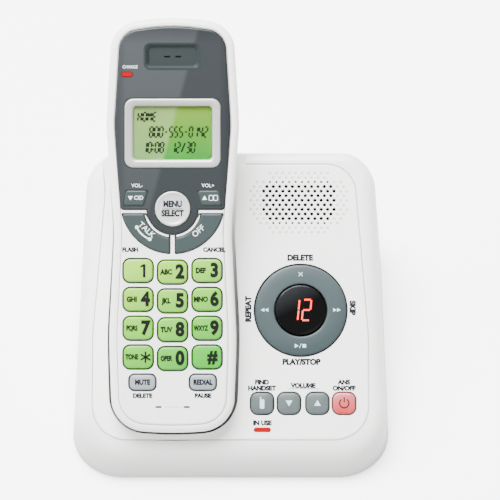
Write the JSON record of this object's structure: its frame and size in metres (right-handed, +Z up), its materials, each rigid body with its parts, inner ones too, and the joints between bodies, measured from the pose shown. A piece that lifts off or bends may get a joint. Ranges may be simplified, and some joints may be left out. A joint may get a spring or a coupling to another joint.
{
  "type": "cordless phone with base",
  "caption": "Cordless handset resting in a wedge-shaped answering base with a rocker ring, small display, keys, grille and charging cradle.",
  "frame": {"origin": "middle of the whole object's footprint box, on the surface that the base's feet stand on", "axes": "+X to the user's right, +Y to the rear, where the sockets are, +Z up"},
  "size_m": [0.1212, 0.142, 0.1112],
  "materials": {
    "white_casing": "satin",
    "grey_fascia": "satin gloss",
    "pale_bezel": "satin",
    "clear_window": "polished",
    "smoked_window": "polished",
    "green_display": "lit",
    "red_digits": "lit",
    "lit_keys": "translucent, lit",
    "slate_keys": "satin",
    "silver_key": "satin",
    "pale_keys": "satin",
    "grey_buttons": "satin",
    "red_button": "translucent",
    "red_light": "translucent",
    "contact_metal": "plated",
    "steel_screws": "zinc plated",
    "rubber_feet": "matte",
    "key_rubber": "matte",
    "board": "solder mask",
    "black_plastic": "satin",
    "dark_parts": "satin",
    "battery_wrap": "shrink wrap"
  },
  "bodies": {
    "root": {"base_bottom_cover": "white_casing", "base_circuit_board": "board", "base_display_window": "smoked_window", "base_faceplate": "white_casing", "base_feet": "rubber_feet", "base_in_use_light": "red_light", "base_keypad_mat": "key_rubber", "base_led_display": "red_digits", "base_line_jack": "black_plastic", "base_power_jack": "black_plastic", "base_screws": "steel_screws", "base_speaker": "dark_parts", "base_upper_housing": "white_casing"},
    "base_find_button": {"base_find_button": "grey_buttons"},
    "base_volume_down_button": {"base_volume_down_button": "grey_buttons"},
    "base_volume_up_button": {"base_volume_up_button": "grey_buttons"},
    "base_answer_button": {"base_answer_button": "red_button"},
    "base_ring_carrier": {"base_ring_carrier": "black_plastic"},
    "base_ring_button": {"base_ring_button": "slate_keys"},
    "base_charge_contact_left": {"base_charge_contact_left": "contact_metal"},
    "base_charge_contact_right": {"base_charge_contact_right": "contact_metal"},
    "handset": {"handset_battery_lead": "black_plastic", "handset_battery_pack": "battery_wrap", "handset_charge_contacts": "contact_metal", "handset_charge_light": "red_light", "handset_circuit_board": "board", "handset_display_bezel": "pale_bezel", "handset_display_lens": "clear_window", "handset_fascia": "grey_fascia", "handset_front_housing": "white_casing", "handset_keypad_mat": "key_rubber", "handset_lcd": "green_display", "handset_microphone": "dark_parts", "handset_rear_housing": "white_casing", "handset_receiver": "dark_parts", "handset_ringer": "dark_parts", "handset_screws": "steel_screws"},
    "handset_battery_cover": {"handset_battery_cover": "white_casing"},
    "key_0": {"key_0": "lit_keys"},
    "key_1": {"key_1": "lit_keys"},
    "key_2": {"key_2": "lit_keys"},
    "key_3": {"key_3": "lit_keys"},
    "key_4": {"key_4": "lit_keys"},
    "key_5": {"key_5": "lit_keys"},
    "key_6": {"key_6": "lit_keys"},
    "key_7": {"key_7": "lit_keys"},
    "key_8": {"key_8": "lit_keys"},
    "key_9": {"key_9": "lit_keys"},
    "key_hash": {"key_hash": "lit_keys"},
    "key_menu": {"key_menu": "silver_key"},
    "key_mute": {"key_mute": "pale_keys"},
    "key_off": {"key_off": "slate_keys"},
    "key_redial": {"key_redial": "pale_keys"},
    "key_star": {"key_star": "lit_keys"},
    "key_talk": {"key_talk": "slate_keys"},
    "key_volume_down": {"key_volume_down": "slate_keys"},
    "key_volume_up": {"key_volume_up": "slate_keys"}
  },
  "joints": [
    {"name": "ring_rock_up_down", "type": "hinge", "parent": "root", "child": "base_ring_carrier", "pos_m": [0.0267, -0.01574, 0.03185], "axis": [1, 0, 0], "range_deg": [-2, 2], "stiffness_Nm_per_rad": 0.02},
    {"name": "ring_rock_left_right", "type": "hinge", "parent": "base_ring_carrier", "child": "base_ring_button", "pos_m": [0.0267, -0.01574, 0.03185], "axis": [0, 0.8988, 0.4384], "range_deg": [-2, 2], "stiffness_Nm_per_rad": 0.02},
    {"name": "base_find_button_press", "type": "slide", "parent": "root", "child": "base_find_button", "axis": [0, 0.4384, -0.8988], "range_m": [0, 0.0008], "stiffness_N_per_m": 250, "springref_m": -0.0006},
    {"name": "base_volume_down_button_press", "type": "slide", "parent": "root", "child": "base_volume_down_button", "axis": [0, 0.4384, -0.8988], "range_m": [0, 0.0008], "stiffness_N_per_m": 250, "springref_m": -0.0006},
    {"name": "base_volume_up_button_press", "type": "slide", "parent": "root", "child": "base_volume_up_button", "axis": [0, 0.4384, -0.8988], "range_m": [0, 0.0008], "stiffness_N_per_m": 250, "springref_m": -0.0006},
    {"name": "base_answer_button_press", "type": "slide", "parent": "root", "child": "base_answer_button", "axis": [0, 0.4384, -0.8988], "range_m": [0, 0.0008], "stiffness_N_per_m": 250, "springref_m": -0.0006},
    {"name": "base_charge_contact_left_press", "type": "slide", "parent": "root", "child": "base_charge_contact_left", "axis": [0, 0.5736, -0.8192], "range_m": [0, 0.0008], "stiffness_N_per_m": 250, "springref_m": -0.0006},
    {"name": "base_charge_contact_right_press", "type": "slide", "parent": "root", "child": "base_charge_contact_right", "axis": [0, 0.5736, -0.8192], "range_m": [0, 0.0008], "stiffness_N_per_m": 250, "springref_m": -0.0006},
    {"name": "handset_lift", "type": "slide", "parent": "root", "child": "handset", "axis": [0, 0, 1], "range_m": [0, 0.08]},
    {"name": "battery_cover_slide", "type": "slide", "parent": "handset", "child": "handset_battery_cover", "axis": [0, -0.8305, -0.5571], "range_m": [0, 0.007]},
    {"name": "key_0_press", "type": "slide", "parent": "handset", "child": "key_0", "axis": [0, 0.5736, -0.8192], "range_m": [0, 0.0008], "stiffness_N_per_m": 250, "springref_m": -0.0006},
    {"name": "key_1_press", "type": "slide", "parent": "handset", "child": "key_1", "axis": [0, 0.5736, -0.8192], "range_m": [0, 0.0008], "stiffness_N_per_m": 250, "springref_m": -0.0006},
    {"name": "key_2_press", "type": "slide", "parent": "handset", "child": "key_2", "axis": [0, 0.5736, -0.8192], "range_m": [0, 0.0008], "stiffness_N_per_m": 250, "springref_m": -0.0006},
    {"name": "key_3_press", "type": "slide", "parent": "handset", "child": "key_3", "axis": [0, 0.5736, -0.8192], "range_m": [0, 0.0008], "stiffness_N_per_m": 250, "springref_m": -0.0006},
    {"name": "key_4_press", "type": "slide", "parent": "handset", "child": "key_4", "axis": [0, 0.5736, -0.8192], "range_m": [0, 0.0008], "stiffness_N_per_m": 250, "springref_m": -0.0006},
    {"name": "key_5_press", "type": "slide", "parent": "handset", "child": "key_5", "axis": [0, 0.5736, -0.8192], "range_m": [0, 0.0008], "stiffness_N_per_m": 250, "springref_m": -0.0006},
    {"name": "key_6_press", "type": "slide", "parent": "handset", "child": "key_6", "axis": [0, 0.5736, -0.8192], "range_m": [0, 0.0008], "stiffness_N_per_m": 250, "springref_m": -0.0006},
    {"name": "key_7_press", "type": "slide", "parent": "handset", "child": "key_7", "axis": [0, 0.5736, -0.8192], "range_m": [0, 0.0008], "stiffness_N_per_m": 250, "springref_m": -0.0006},
    {"name": "key_8_press", "type": "slide", "parent": "handset", "child": "key_8", "axis": [0, 0.5736, -0.8192], "range_m": [0, 0.0008], "stiffness_N_per_m": 250, "springref_m": -0.0006},
    {"name": "key_9_press", "type": "slide", "parent": "handset", "child": "key_9", "axis": [0, 0.5736, -0.8192], "range_m": [0, 0.0008], "stiffness_N_per_m": 250, "springref_m": -0.0006},
    {"name": "key_hash_press", "type": "slide", "parent": "handset", "child": "key_hash", "axis": [0, 0.5736, -0.8192], "range_m": [0, 0.0008], "stiffness_N_per_m": 250, "springref_m": -0.0006},
    {"name": "key_menu_press", "type": "slide", "parent": "handset", "child": "key_menu", "axis": [0, 0.5736, -0.8192], "range_m": [0, 0.0008], "stiffness_N_per_m": 250, "springref_m": -0.0006},
    {"name": "key_mute_press", "type": "slide", "parent": "handset", "child": "key_mute", "axis": [0, 0.5736, -0.8192], "range_m": [0, 0.0008], "stiffness_N_per_m": 250, "springref_m": -0.0006},
    {"name": "key_off_press", "type": "slide", "parent": "handset", "child": "key_off", "axis": [0, 0.5736, -0.8192], "range_m": [0, 0.0008], "stiffness_N_per_m": 250, "springref_m": -0.0006},
    {"name": "key_redial_press", "type": "slide", "parent": "handset", "child": "key_redial", "axis": [0, 0.5736, -0.8192], "range_m": [0, 0.0008], "stiffness_N_per_m": 250, "springref_m": -0.0006},
    {"name": "key_star_press", "type": "slide", "parent": "handset", "child": "key_star", "axis": [0, 0.5736, -0.8192], "range_m": [0, 0.0008], "stiffness_N_per_m": 250, "springref_m": -0.0006},
    {"name": "key_talk_press", "type": "slide", "parent": "handset", "child": "key_talk", "axis": [0, 0.5736, -0.8192], "range_m": [0, 0.0008], "stiffness_N_per_m": 250, "springref_m": -0.0006},
    {"name": "key_volume_down_press", "type": "slide", "parent": "handset", "child": "key_volume_down", "axis": [0, 0.5736, -0.8192], "range_m": [0, 0.0008], "stiffness_N_per_m": 250, "springref_m": -0.0006},
    {"name": "key_volume_up_press", "type": "slide", "parent": "handset", "child": "key_volume_up", "axis": [0, 0.5736, -0.8192], "range_m": [0, 0.0008], "stiffness_N_per_m": 250, "springref_m": -0.0006}
  ]
}
